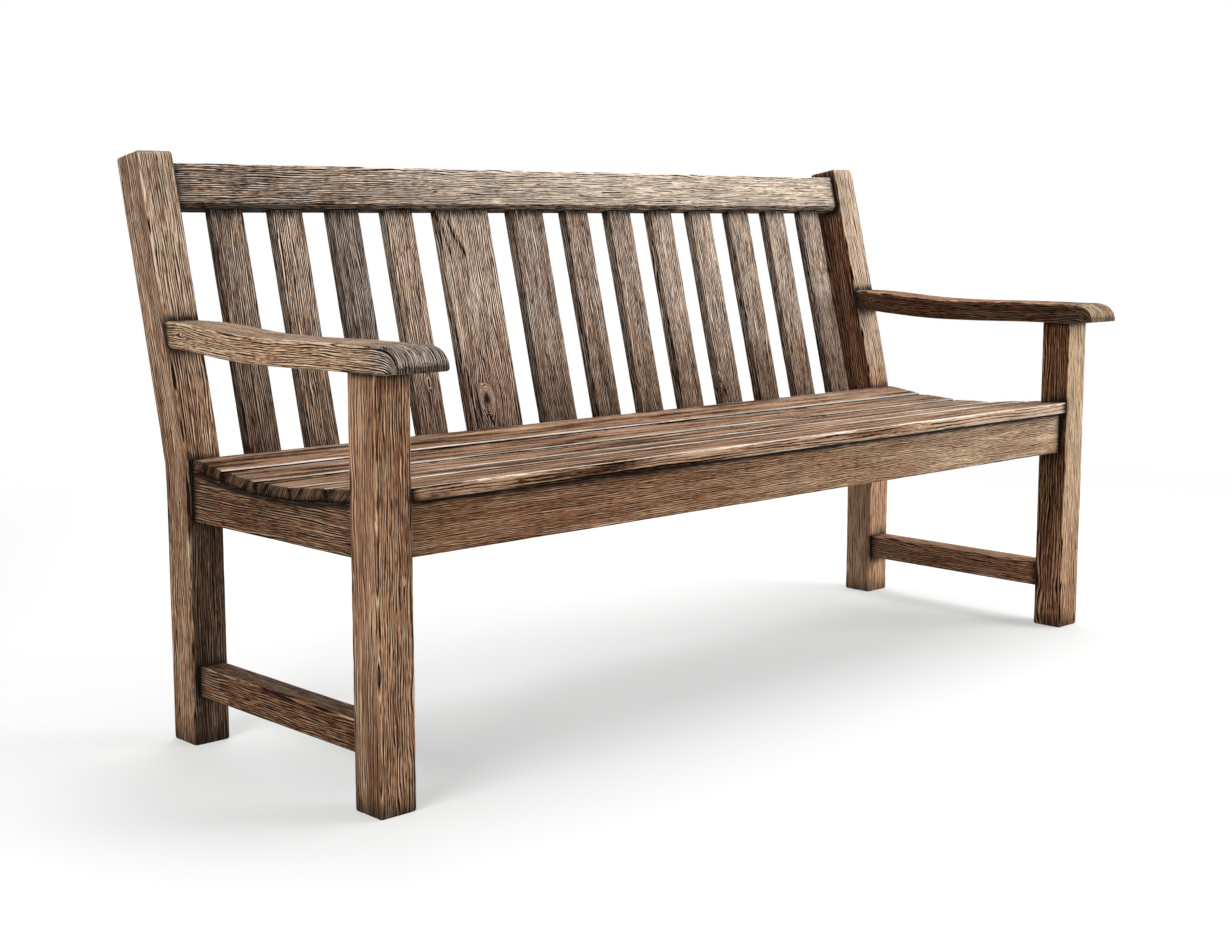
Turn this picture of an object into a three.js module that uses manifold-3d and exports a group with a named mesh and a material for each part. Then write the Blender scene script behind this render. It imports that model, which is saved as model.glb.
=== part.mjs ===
// Three-seat garden bench: mortise-and-tenon frame, raked slatted back, dished slatted seat.
// Millimetres. +X runs along the bench, +Y from the front to the back, +Z up.

import * as THREE from 'three';
import { mergeVertices } from 'three/addons/utils/BufferGeometryUtils.js';
import Module from 'manifold-3d';

const wasm = await Module();
wasm.setup();

// ---- Driving dimensions -------------------------------------------------------------

// Overall frame
const lengthOverLegs = 1704;
const legToPost = 474;            // front face of the front legs to the front face of the posts
const armUndersideHeight = 600;   // length of the front legs, without the stub tenon on top
const backHeight = 902;           // floor to the front arris of the post tops
const bendBelowSeat = 6;          // where the front faces of the posts start to lean
const rearBendDrop = 16;          // the rear faces start to lean this much lower
const postTopFall = 11;           // fall of the post tops towards the back
const lean = THREE.MathUtils.degToRad(14);

// Timber sections
const legSize = 59;
const postWidth = 59;
const postDepth = 62.5;
const seatRailThickness = 30;
const rearRailThickness = 44;
const sideRailThickness = 38;
const bearerThickness = 40;
const stretcherThickness = 43;
const stretcherHeight = 46;
const topRailThickness = 34;
const topRailHeight = 70;
const armThickness = 36;
const backSlatThickness = 18;
const seatBoardThickness = 20.5;

// Places of the rails
const railUndersideDrop = 98;         // underside of all rails that carry the seat, below the seat
const seatRailSetback = 14;           // front rail behind the front faces of the legs
const rearRailSetback = 6;            // rear rail behind the front faces of the posts
const rearRailTopDrop = 22;           // top of the rear rail below the seat
const sideRailInset = 10;             // side rail inside the outer faces of the legs
const stretcherInset = 11;
const stretcherUndersideHeight = 76.5;
const topRailDrop = 15;               // top rail below the square-cut post tops
const topRailRecess = 10;             // top rail behind the front faces of the posts
const topRailChamfer = 7;             // chamfer along its lower front arris

// Seat
const seatHeight = 446;
const dishDepth = 19;
const dishLowestPoint = 262;          // from the front of the legs
const dishFrontReach = 190;           // from the lowest point forward to full height
const dishRearReach = 215;            // from the lowest point back to full height
const regularBoards = 4;
const regularBoardWidth = 84;
const boardGap = 3;
const frontBoardSetback = 2;
const boardEndOverhang = 3;           // board ends beyond the outer faces of the side rails
const rearBoardToPost = 2;

// Back slats, from left to right as seen from the front
const regularSlatWidth = 57.5;
const wideSlatWidth = 114;
const middleSlatWidth = 76;
const slatsBeforeWide = 4;
const slatsAfterMiddle = 7;
const slatRowLeftRoom = 64.75;        // between the left post and the first slat
const slatRowRightRoom = 50.75;       // between the last slat and the right post
const slatRecess = 22;                // slat faces behind the front faces of the posts

// Armrests
const armOuterOverhang = 6;
const armInnerOverhang = 20;
const armFrontOverhang = 58;
const armNoseLength = 36;
const armNoseEndHeight = 8;           // flat left at the tip of the rounded nose
const armNoseRise = 4;                // underside at the tip above the leg top
const armSag = 3;
const armRearRise = 7;
const armRearSwell = 3;               // the arm is this much thicker where it meets the post
const armFlareLength = 90;            // plan widening forward of the post

// Joinery
const fitGap = 0.3;                   // clearance left in every joint
const tenonThickness = 12;
const tenonShoulder = 11;             // shoulder above and below a rail tenon
const longTenon = 38;                 // front, rear and top rails
const shortTenon = 18;                // side rails
const stretcherTenon = 24;
const bearerTenon = 16;
const slatTenonThickness = 10;
const slatTenonLength = 15;
const legStubWidth = 32;
const legStubDepth = 28;
const legStubHeight = 20;
const armStubWidth = 30;
const armStubHeight = 18;
const armStubLength = 22;
const mortiseBottomRoom = 1;          // mortises are this much deeper than their tenons

// Fastenings
const pegRadius = 4;
const pegSpacing = 30;
const pegCover = 14;                  // wood left in front of a peg's blind end
const screwLength = 52;
const screwShankRadius = 2.2;
const screwHeadRadius = 4.2;
const screwHeadHeight = 3;
const screwBite = 13;                 // how far a screw goes into a seat board

// Worn arrises
const frameArris = 2.5;
const boardArris = 2;
const slatArris = 1.5;
const armArris = 4;
const bendRadius = 60;
const cornerShare = 1.6;              // an outline corner is eased this much more than its sides

// ---- Places worked out from them ------------------------------------------------------

const railUndersideHeight = seatHeight - railUndersideDrop;
const rearRailTopHeight = seatHeight - rearRailTopDrop;
const bendHeight = seatHeight - bendBelowSeat;
const rearBendHeight = bendHeight - rearBendDrop;
const legOuter = lengthOverLegs / 2;
const legInner = legOuter - legSize;
const postInner = legOuter - postWidth;
const postRear = legToPost + postDepth;
const leaningDepth = postDepth * Math.cos(lean) + rearBendDrop * Math.sin(lean);
const leanLength = (backHeight - bendHeight) / Math.cos(lean);
const topRailTop = leanLength - topRailDrop;
const topRailBottom = topRailTop - topRailHeight;
const sideRailOuter = legOuter - sideRailInset;
const sideRailMiddle = sideRailOuter - sideRailThickness / 2;
const seatRailBack = seatRailSetback + seatRailThickness;
const rearRailFront = legToPost + rearRailSetback;
const rearBoardEdge = legToPost - rearBoardToPost;
const boardLength = 2 * (sideRailOuter + boardEndOverhang);
const frameCorner = cornerShare * frameArris;
const boardCorner = cornerShare * boardArris;

// ---- Solids ---------------------------------------------------------------------------

function toManifold(geometry) {
  const bare = new THREE.BufferGeometry();
  bare.setAttribute('position', geometry.getAttribute('position').clone());
  if (geometry.index) bare.setIndex(geometry.index.clone());
  const merged = mergeVertices(bare, 1e-4);
  return new wasm.Manifold(new wasm.Mesh({
    numProp: 3,
    vertProperties: new Float32Array(merged.getAttribute('position').array),
    triVerts: new Uint32Array(merged.index.array),
  }));
}

function fromManifold(solid) {
  const mesh = solid.getMesh();
  const geometry = new THREE.BufferGeometry();
  geometry.setAttribute('position', new THREE.BufferAttribute(mesh.vertProperties, 3));
  geometry.setIndex(new THREE.BufferAttribute(mesh.triVerts, 1));
  return geometry;
}

function joined(geometry, additions) {
  const whole = additions.reduce((sum, piece) => sum.add(toManifold(piece)), toManifold(geometry));
  return fromManifold(whole);
}

function cut(geometry, cutters) {
  const rest = cutters.reduce((left, tool) => left.subtract(toManifold(tool)), toManifold(geometry));
  return fromManifold(rest);
}

function mirrored(geometry) {
  const copy = mergeVertices(geometry.clone().deleteAttribute('normal').deleteAttribute('uv'));
  copy.scale(-1, 1, 1);
  const index = copy.index.array;
  for (let i = 0; i < index.length; i += 3) {
    [index[i + 1], index[i + 2]] = [index[i + 2], index[i + 1]];
  }
  return copy;
}

// A box given by its limits, grown by room on every side.
function box([x0, x1], [y0, y1], [z0, z1], room = 0) {
  const geometry = new THREE.BoxGeometry(x1 - x0 + 2 * room, y1 - y0 + 2 * room, z1 - z0 + 2 * room);
  return geometry.translate((x0 + x1) / 2, (y0 + y1) / 2, (z0 + z1) / 2);
}

// A side outline in (y, z) with every corner eased by its own radius.
function outline(corners) {
  const shape = new THREE.Shape();
  corners.forEach(([y, z, radius = 0], i) => {
    const corner = new THREE.Vector2(y, z);
    const before = new THREE.Vector2(...corners.at(i - 1));
    const after = new THREE.Vector2(...corners[(i + 1) % corners.length]);
    const start = corner.clone().add(before.sub(corner).setLength(radius));
    const end = corner.clone().add(after.sub(corner).setLength(radius));
    if (i === 0) shape.moveTo(start.x, start.y);
    else shape.lineTo(start.x, start.y);
    if (radius > 0) shape.quadraticCurveTo(corner.x, corner.y, end.x, end.y);
  });
  shape.closePath();
  return shape;
}

// An outline in (y, z) given its width along X, centred, with the arrises of both sides eased.
function extrudedAlongX(shape, width, arris) {
  const geometry = new THREE.ExtrudeGeometry(shape, {
    depth: width - 2 * arris,
    bevelEnabled: arris > 0,
    bevelThickness: arris,
    bevelSize: arris,
    bevelOffset: -arris,
    bevelSegments: 2,
    curveSegments: 3,
  });
  geometry.translate(0, 0, arris - width / 2);
  const axes = new THREE.Matrix4();
  axes.makeBasis(new THREE.Vector3(0, 1, 0), new THREE.Vector3(0, 0, 1), new THREE.Vector3(1, 0, 0));
  return geometry.applyMatrix4(axes);
}

function cylinderAlongY(radius, [y0, y1], x, z) {
  const geometry = new THREE.CylinderGeometry(radius, radius, y1 - y0, 16);
  return geometry.translate(0, (y0 + y1) / 2, 0).translate(x, 0, z);
}

function cylinderAlongZ(radius, [z0, z1], x, y) {
  const geometry = new THREE.CylinderGeometry(radius, radius, z1 - z0, 16).rotateX(Math.PI / 2);
  return geometry.translate(x, y, (z0 + z1) / 2);
}

// A closed skin over rings that all have the same number of points, counter-clockwise seen from
// the end of the run.
function lofted(rings) {
  const count = rings[0].length;
  const index = [];
  for (let r = 0; r < rings.length - 1; r += 1) {
    for (let i = 0; i < count; i += 1) {
      const a = r * count + i;
      const b = r * count + (i + 1) % count;
      index.push(a, b, a + count, b, b + count, a + count);
    }
  }
  const last = (rings.length - 1) * count;
  for (let i = 1; i < count - 1; i += 1) {
    index.push(0, i + 1, i, last, last + i, last + i + 1);
  }
  const geometry = new THREE.BufferGeometry();
  geometry.setAttribute('position', new THREE.Float32BufferAttribute(rings.flat(2), 3));
  geometry.setIndex(index);
  return geometry;
}

// ---- The leaning frame: z runs up the lean, y is measured back from the post faces -----

const leanFrame = new THREE.Matrix4().makeRotationX(-lean).setPosition(0, legToPost, bendHeight);

function leaning(geometry) {
  return geometry.applyMatrix4(leanFrame);
}

function postFaceAt(height) {
  return legToPost + (height - bendHeight) * Math.tan(lean);
}

function postRearAt(height) {
  return postRear + Math.max(0, height - rearBendHeight) * Math.tan(lean);
}

// ---- Seat geometry ----------------------------------------------------------------------

function dishHeight(y) {
  const reach = y > dishLowestPoint ? dishRearReach : dishFrontReach;
  const share = Math.min(1, Math.abs(y - dishLowestPoint) / reach);
  return seatHeight - dishDepth * (1 - share * share);
}

// Top edges of the boards, front board first: each is flat and spans a chord of the dish.
function seatBoards() {
  const boards = [];
  let rear = rearBoardEdge;
  for (let i = 0; i < regularBoards; i += 1) {
    boards.unshift({ front: rear - regularBoardWidth, rear });
    rear -= regularBoardWidth + boardGap;
  }
  boards.unshift({ front: frontBoardSetback, rear });
  return boards.map(({ front, rear: back }) => {
    const low = new THREE.Vector2(front, dishHeight(front));
    const high = new THREE.Vector2(back, dishHeight(back));
    const tilt = Math.atan2(high.y - low.y, high.x - low.x);
    return { low, high, tilt, width: low.distanceTo(high) };
  });
}

const boards = seatBoards();

// A point on a board's underside: a share of its width back, and room below it.
function underBoard(board, share, room = fitGap) {
  const point = board.low.clone().lerp(board.high, share);
  const drop = seatBoardThickness + room;
  return [point.x + drop * Math.sin(board.tilt), point.y - drop * Math.cos(board.tilt)];
}

function underBoardAt(board, y) {
  const [frontY, frontZ] = underBoard(board, 0);
  return frontZ + (y - frontY) * Math.tan(board.tilt);
}

// The line along which rails carry the boards, between two places.
function bearingLine(from, to) {
  const inside = boards.flatMap((board) => [underBoard(board, 0), underBoard(board, 1)]);
  const kept = inside.filter(([y]) => y > from + frameArris && y < to - frameArris);
  const first = [from, underBoardAt(boards[0], from)];
  const last = [to, underBoardAt(boards.at(-1), to)];
  return [first, ...kept, last];
}

const screwPlaces = boards.map((board) => {
  const [y, z] = underBoard(board, 0.5, 0);
  return { y, tip: z + screwBite, seat: z + screwBite - screwLength };
});

// Clearance hole for a seat screw, with the counterbore that its head goes up.
function screwHole({ y, tip, seat }, x) {
  const shank = cylinderAlongZ(screwShankRadius + fitGap, [seat - fitGap, tip + mortiseBottomRoom], x, y);
  const head = cylinderAlongZ(
    screwHeadRadius + 2 * fitGap, [railUndersideHeight - frameArris, seat], x, y);
  return [shank, head];
}

function seatScrew() {
  const profile = [
    [0, -screwHeadHeight],
    [screwHeadRadius, -screwHeadHeight],
    [screwHeadRadius, -fitGap],
    [screwShankRadius, -fitGap],
    [screwShankRadius, screwLength - 3 * screwShankRadius],
    [0, screwLength],
  ];
  const turned = new THREE.LatheGeometry(profile.map(([r, z]) => new THREE.Vector2(r, z)), 12);
  return turned.rotateX(Math.PI / 2);
}

// ---- Frame timbers ------------------------------------------------------------------------

// Heights of the tenon of a rail between two heights.
function tenonHeights(low, high) {
  return [low + tenonShoulder, high - tenonShoulder];
}

function centred(middle, size) {
  return [middle - size / 2, middle + size / 2];
}

const seatTenonHeights = tenonHeights(railUndersideHeight, rearRailTopHeight);
const dishTenonHeights = tenonHeights(
  railUndersideHeight, seatHeight - dishDepth - seatBoardThickness);
const stretcherTop = stretcherUndersideHeight + stretcherHeight;
const stretcherTenonHeights = centred(stretcherUndersideHeight + stretcherHeight / 2, stretcherHeight / 2);
const topTenonHeights = tenonHeights(topRailBottom, topRailTop);
const stretcherMiddle = legOuter - stretcherInset - stretcherThickness / 2;
const frontTenonDepths = centred(seatRailSetback + seatRailThickness / 2, tenonThickness);
const rearTenonDepths = centred(rearRailFront + rearRailThickness / 2, tenonThickness);
const topTenonDepths = centred(topRailRecess + topRailThickness / 2, tenonThickness);
const sideTenonWidths = centred(sideRailMiddle, tenonThickness);
const stretcherTenonWidths = centred(stretcherMiddle, tenonThickness);

// Mortise for a tenon that enters from the inner side of the right-hand leg or post.
function endMortise(inner, depths, heights) {
  const reach = [inner - frameArris, inner + longTenon + mortiseBottomRoom];
  return box(reach, [depths[0] - fitGap, depths[1] + fitGap], [heights[0] - fitGap, heights[1] + fitGap]);
}

function sideMortise(widths, run, heights) {
  return box([widths[0] - fitGap, widths[1] + fitGap], run, [heights[0] - fitGap, heights[1] + fitGap]);
}

const armStubHeights = centred(armUndersideHeight + armRearRise + armThickness / 2, armStubHeight);
const armStubFace = postFaceAt(armStubHeights[0]);

function frontLeg() {
  const side = outline([
    [0, 0, frameCorner], [legSize, 0, frameCorner],
    [legSize, armUndersideHeight], [0, armUndersideHeight],
  ]);
  const middle = legInner + legSize / 2;
  const leg = extrudedAlongX(side, legSize, frameArris).translate(middle, 0, 0);
  const stubTop = armUndersideHeight + legStubHeight;
  const stub = box(
    centred(middle, legStubWidth),
    centred(legSize / 2, legStubDepth),
    [armUndersideHeight - legStubHeight, stubTop]);
  return cut(joined(leg, [stub]), [
    endMortise(legInner, frontTenonDepths, seatTenonHeights),
    sideMortise(
      sideTenonWidths,
      [legSize - shortTenon - mortiseBottomRoom, legSize + frameArris],
      dishTenonHeights),
    sideMortise(
      stretcherTenonWidths,
      [legSize - stretcherTenon - mortiseBottomRoom, legSize + frameArris],
      stretcherTenonHeights),
  ]);
}

// Where the lean frame puts a point that lies up the lean and behind the post faces.
function leanPoint(back, up) {
  const point = new THREE.Vector3(0, back, up).applyMatrix4(leanFrame);
  return [point.y, point.z];
}

// Pegs stand one above the other in the middle of a tenon's length.
const pegX = postInner + longTenon / 2;

function pegHeights(heights) {
  const middle = (heights[0] + heights[1]) / 2;
  return [middle + pegSpacing / 2, middle - pegSpacing / 2];
}

const lowerPegs = pegHeights(seatTenonHeights);
const upperPegs = pegHeights(topTenonHeights);
const lowerPegRun = [rearTenonDepths[0] - pegCover, postRearAt(lowerPegs[0]) - fitGap];
const upperPegRun = [topTenonDepths[0] - pegCover / 2, leaningDepth - fitGap];

function pegHole(run, x, z) {
  return cylinderAlongY(pegRadius + fitGap, [run[0] - fitGap, run[1] + frameArris], x, z);
}

function rearPost() {
  const rearRise = backHeight - postTopFall - bendHeight + leaningDepth * Math.sin(lean);
  const side = outline([
    [legToPost, 0, frameCorner], [postRear, 0, frameCorner],
    [postRear, rearBendHeight, bendRadius],
    [...leanPoint(leaningDepth, rearRise / Math.cos(lean)), 2 * frameArris],
    [...leanPoint(0, leanLength), 2 * frameArris],
    [legToPost, bendHeight, bendRadius],
  ]);
  const post = extrudedAlongX(side, postWidth, frameArris).translate(postInner + postWidth / 2, 0, 0);
  const armStub = box(
    centred(postInner + postWidth / 2, armStubWidth),
    [armStubFace - postDepth, armStubFace + armStubLength + mortiseBottomRoom],
    armStubHeights, fitGap);
  return cut(post, [
    endMortise(postInner, rearTenonDepths, seatTenonHeights),
    leaning(endMortise(postInner, topTenonDepths, topTenonHeights)),
    sideMortise(
      sideTenonWidths,
      [legToPost - frameArris, legToPost + shortTenon + mortiseBottomRoom],
      dishTenonHeights),
    sideMortise(
      stretcherTenonWidths,
      [legToPost - frameArris, legToPost + stretcherTenon + mortiseBottomRoom],
      stretcherTenonHeights),
    armStub,
    ...lowerPegs.map((z) => pegHole(lowerPegRun, pegX, z)),
    ...upperPegs.map((z) => leaning(pegHole(upperPegRun, pegX, z))),
  ]);
}

// A rail between the legs or posts, with a tenon at both ends.
function longRail(side, clearLength, depths, heights, pegs, pegRun) {
  const rail = extrudedAlongX(side, clearLength - 2 * fitGap, 0);
  const reach = clearLength / 2 + longTenon;
  const whole = joined(rail, [box([-reach, reach], depths, heights)]);
  const holes = pegs.flatMap((z) => [
    pegHole(pegRun, clearLength / 2 + longTenon / 2, z),
    pegHole(pegRun, -clearLength / 2 - longTenon / 2, z),
  ]);
  return cut(whole, holes);
}

function bearerMortise(y0, y1) {
  const widths = centred(0, tenonThickness);
  return sideMortise(widths, [y0, y1], dishTenonHeights);
}

function frontSeatRail() {
  const side = outline([
    [seatRailSetback, railUndersideHeight, boardArris],
    [seatRailBack, railUndersideHeight, boardArris],
    [seatRailBack, underBoardAt(boards[0], seatRailBack), boardArris],
    [seatRailSetback, underBoardAt(boards[0], seatRailSetback), boardArris],
  ]);
  const rail = longRail(side, 2 * legInner, frontTenonDepths, seatTenonHeights, [], []);
  return cut(rail, [
    bearerMortise(seatRailBack - bearerTenon - mortiseBottomRoom, seatRailBack + frameArris),
  ]);
}

function rearSeatRail() {
  const back = rearRailFront + rearRailThickness;
  const footMouth = slatShoulder(slatTenonDepths[1]) + frameArris;
  const side = outline([
    [rearRailFront, railUndersideHeight, boardArris], [back, railUndersideHeight, boardArris],
    [back, rearRailTopHeight, boardArris], [rearRailFront, rearRailTopHeight, boardArris],
  ]);
  const rail = longRail(
    side, 2 * postInner, rearTenonDepths, seatTenonHeights, lowerPegs, lowerPegRun);
  return cut(rail, [
    bearerMortise(rearRailFront - frameArris, rearRailFront + bearerTenon + mortiseBottomRoom),
    ...backSlats.map((slat) => leaning(slatMortise(slat, slatFoot - mortiseBottomRoom, footMouth))),
  ]);
}

function topBackRail() {
  const back = topRailRecess + topRailThickness;
  const side = outline([
    [topRailRecess + topRailChamfer * 0.6, topRailBottom, boardArris / 2],
    [back, topRailBottom, boardArris],
    [back, topRailTop, 2 * boardArris],
    [topRailRecess, topRailTop, 2 * boardArris],
    [topRailRecess, topRailBottom + topRailChamfer, boardArris / 2],
  ]);
  const rail = longRail(
    side, 2 * postInner, topTenonDepths, topTenonHeights, upperPegs, upperPegRun);
  const slatTop = topRailBottom + slatTenonLength + mortiseBottomRoom;
  return cut(rail, backSlats.map((slat) => slatMortise(slat, topRailBottom - frameArris, slatTop)));
}

// A timber under the ends or the middle of the seat boards, hollowed to the dish.
function dishedBearer(front, back, thickness, middle, tenonLength) {
  const start = front + fitGap;
  const end = back - fitGap;
  const top = bearingLine(start, end).reverse();
  const side = outline([[start, railUndersideHeight], [end, railUndersideHeight], ...top]);
  const tenon = box(
    centred(0, tenonThickness), [front - tenonLength, back + tenonLength], dishTenonHeights);
  const bearer = joined(extrudedAlongX(side, thickness, 1), [tenon]);
  const holes = screwPlaces.flatMap((place) => screwHole(place, 0));
  return cut(bearer, holes).translate(middle, 0, 0);
}

function stretcher() {
  const start = legSize + fitGap;
  const end = legToPost - fitGap;
  const side = outline([
    [start, stretcherUndersideHeight], [end, stretcherUndersideHeight],
    [end, stretcherTop], [start, stretcherTop],
  ]);
  const bar = extrudedAlongX(side, stretcherThickness, boardArris);
  const tenon = box(
    centred(0, tenonThickness),
    [legSize - stretcherTenon, legToPost + stretcherTenon],
    stretcherTenonHeights);
  return joined(bar, [tenon]).translate(stretcherMiddle, 0, 0);
}

// ---- Back slats ---------------------------------------------------------------------------

function slatRow() {
  const before = Array(slatsBeforeWide).fill(regularSlatWidth);
  const after = Array(slatsAfterMiddle).fill(regularSlatWidth);
  const widths = [...before, wideSlatWidth, middleSlatWidth, ...after];
  const timber = widths.reduce((sum, width) => sum + width, 0);
  const openLength = 2 * postInner - slatRowLeftRoom - slatRowRightRoom - timber;
  const slatGap = openLength / (widths.length - 1);
  let left = slatRowLeftRoom - postInner;
  return widths.map((width) => {
    const slat = { width, x: left + width / 2 };
    left += width + slatGap;
    return slat;
  });
}

const backSlats = slatRow();
const slatBack = slatRecess + backSlatThickness;
const slatTenonDepths = centred(slatRecess + backSlatThickness / 2, slatTenonThickness);
const slatFoot = slatShoulder(slatTenonDepths[0]) - slatTenonLength;

// Height up the lean at which a slat's foot meets the level top of the rear rail.
function slatShoulder(back) {
  const drop = rearRailTopHeight + fitGap - bendHeight;
  return drop / Math.cos(lean) + back * Math.tan(lean);
}

function slatMortise({ width, x }, low, high) {
  return box(
    centred(x, width + 2 * fitGap),
    [slatTenonDepths[0] - fitGap, slatTenonDepths[1] + fitGap],
    [low, high]);
}

function backSlat({ width }) {
  const [tenonFront, tenonBack] = slatTenonDepths;
  const head = topRailBottom - fitGap;
  const tenonTop = topRailBottom + slatTenonLength;
  const side = outline([
    [slatRecess, slatShoulder(slatRecess)], [tenonFront, slatShoulder(tenonFront)],
    [tenonFront, slatFoot], [tenonBack, slatFoot],
    [tenonBack, slatShoulder(tenonBack)], [slatBack, slatShoulder(slatBack)],
    [slatBack, head], [tenonBack, head],
    [tenonBack, tenonTop], [tenonFront, tenonTop],
    [tenonFront, head], [slatRecess, head],
  ]);
  return extrudedAlongX(side, width, slatArris);
}

// ---- Seat boards --------------------------------------------------------------------------

// A board lies level here, with its top front arris on the X axis, and is tilted by its mesh.
function seatBoard(board, isFront) {
  const side = outline([
    [0, -seatBoardThickness, boardCorner], [board.width, -seatBoardThickness, boardCorner],
    [board.width, 0, boardCorner], [0, 0, boardCorner],
  ]);
  const plank = extrudedAlongX(side, boardLength, boardArris);
  const place = new THREE.Matrix4().makeRotationX(board.tilt).setPosition(0, board.low.x, board.low.y);
  const toBoard = place.invert();
  const screws = screwPlaces[boards.indexOf(board)];
  const supports = [-sideRailMiddle, 0, sideRailMiddle];
  const tools = supports.map((x) => {
    const hole = cylinderAlongZ(
      screwShankRadius + fitGap, [screws.seat, screws.tip + mortiseBottomRoom], x, screws.y);
    return hole.applyMatrix4(toBoard);
  });
  if (isFront) {
    const legRoom = 1;
    const notch = box(
      [legInner - legRoom, boardLength], [-legSize, legSize + legRoom], [0, armUndersideHeight]);
    tools.push(mirrored(notch).applyMatrix4(toBoard), notch.applyMatrix4(toBoard));
  }
  return cut(plank, tools);
}

// ---- Armrests -----------------------------------------------------------------------------

const armFront = -armFrontOverhang;
const armNoseStart = armFront + armNoseLength;

function armUnderside(y) {
  if (y < 0) return armUndersideHeight + armNoseRise * (y / armFront) ** 2;
  if (y < legSize) return armUndersideHeight;
  const share = (y - legSize) / (legToPost - legSize);
  const sag = armSag * Math.sin(Math.PI * Math.min(1, share)) ** 2;
  return armUndersideHeight - sag + armRearRise * THREE.MathUtils.smoothstep(share, 0.6, 1.1);
}

function armTop(y) {
  const share = THREE.MathUtils.clamp((y - legSize) / (legToPost - legSize), 0, 1.1);
  const flat = armUnderside(Math.max(y, 0)) + armThickness + armRearSwell * share;
  if (y >= armNoseStart) return flat;
  const along = Math.min(1, (armNoseStart - y) / armNoseLength);
  const tip = armUnderside(armFront) + armNoseEndHeight;
  return tip + (flat - tip) * Math.sqrt(1 - along * along);
}

// One section of the arm, seen along +Y, with its corners eased.
function armRing(y, face) {
  const flare = THREE.MathUtils.smoothstep(legToPost + armFlareLength / 2 - y, 0, armFlareLength);
  const x0 = legInner - armInnerOverhang * flare;
  const x1 = legOuter + armOuterOverhang * flare;
  const z0 = armUnderside(y);
  const z1 = armTop(y);
  const ease = Math.min(armArris, (z1 - z0) / 3);
  const corners = [[x0, z0, 1, 1], [x0, z1, 1, -1], [x1, z1, -1, -1], [x1, z0, -1, 1]];
  return corners.flatMap(([x, z, inX, inZ], i) => {
    const steps = i % 2 === 0 ? [0, 0.5, 1] : [1, 0.5, 0];
    return steps.map((t) => {
      const px = x + inX * ease * (1 - Math.sin(t * Math.PI / 2));
      const pz = z + inZ * ease * (1 - Math.cos(t * Math.PI / 2));
      return [px, face ? postFaceAt(pz) - fitGap : y, pz];
    });
  });
}

function armrest() {
  const rearStart = postFaceAt(armUndersideHeight) - armThickness / 2;
  const noseStations = 6;
  const bodyStations = 14;
  const stations = [];
  for (let i = 0; i < noseStations; i += 1) {
    const turn = (Math.PI / 2) * (1 - i / noseStations);
    stations.push(armNoseStart - armNoseLength * Math.sin(turn));
  }
  stations.push(armNoseStart, 0);
  for (let i = 0; i <= bodyStations; i += 1) {
    stations.push(legSize + (rearStart - legSize) * (i / bodyStations));
  }
  const rings = stations.map((y) => armRing(y));
  rings.push(armRing(postFaceAt(armUndersideHeight + armThickness), true));
  const stub = box(
    centred(postInner + postWidth / 2, armStubWidth),
    [armStubFace - armThickness, armStubFace + armStubLength],
    armStubHeights);
  const legMiddle = legInner + legSize / 2;
  const stubMortise = box(
    centred(legMiddle, legStubWidth + 2 * fitGap),
    centred(legSize / 2, legStubDepth + 2 * fitGap),
    [armUndersideHeight - armThickness, armUndersideHeight + legStubHeight + mortiseBottomRoom]);
  return cut(joined(lofted(rings), [stub]), [stubMortise]);
}

// ---- Assembly -----------------------------------------------------------------------------

const darkOak = { color: 0x6b503a, roughness: 0.85, metalness: 0 };
const greyOak = { color: 0x75604c, roughness: 0.88, metalness: 0 };
const paleOak = { color: 0x8a6d50, roughness: 0.85, metalness: 0 };
const pegOak = { color: 0x5d4533, roughness: 0.8, metalness: 0 };
const screwSteel = { color: 0x8f8f8c, roughness: 0.45, metalness: 1 };

function piece(name, geometry, finish) {
  const mesh = new THREE.Mesh(geometry, new THREE.MeshStandardMaterial(finish));
  mesh.name = name;
  return mesh;
}

function pair(name, geometry, finish) {
  return [
    piece(`${name}_left`, mirrored(geometry), finish),
    piece(`${name}_right`, geometry, finish),
  ];
}

const bench = new THREE.Group();
bench.add(...pair('front_leg', frontLeg(), darkOak));
bench.add(...pair('rear_post', rearPost(), darkOak));
bench.add(...pair('armrest', armrest(), darkOak));
bench.add(...pair('stretcher', stretcher(), darkOak));
bench.add(...pair(
  'side_seat_rail',
  dishedBearer(legSize, legToPost, sideRailThickness, sideRailMiddle, shortTenon),
  darkOak));
bench.add(piece('front_seat_rail', frontSeatRail(), darkOak));
bench.add(piece('rear_seat_rail', rearSeatRail(), darkOak));
bench.add(piece(
  'centre_seat_bearer',
  dishedBearer(seatRailBack, rearRailFront, bearerThickness, 0, bearerTenon),
  darkOak));

boards.forEach((board, i) => {
  const plank = piece(`seat_slat_${i + 1}`, seatBoard(board, i === 0), paleOak);
  plank.position.set(0, board.low.x, board.low.y);
  plank.rotation.x = board.tilt;
  bench.add(plank);
});

const back = new THREE.Group();
back.position.set(0, legToPost, bendHeight);
back.rotation.x = -lean;
bench.add(back);
back.add(piece('top_back_rail', topBackRail(), greyOak));
backSlats.forEach((slat, i) => {
  const board = piece(`back_slat_${String(i + 1).padStart(2, '0')}`, backSlat(slat), greyOak);
  board.position.x = slat.x;
  back.add(board);
});

function addPegs(parent, label, run, heights) {
  ['upper', 'lower'].forEach((level, i) => {
    [-1, 1].forEach((side) => {
      const name = `${label}_peg_${level}_${side < 0 ? 'left' : 'right'}`;
      const peg = piece(name, cylinderAlongY(pegRadius, run, 0, 0), pegOak);
      peg.position.set(side * pegX, 0, heights[i]);
      parent.add(peg);
    });
  });
}

addPegs(bench, 'seat_rail', lowerPegRun, lowerPegs);
addPegs(back, 'top_rail', upperPegRun, upperPegs);

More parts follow.
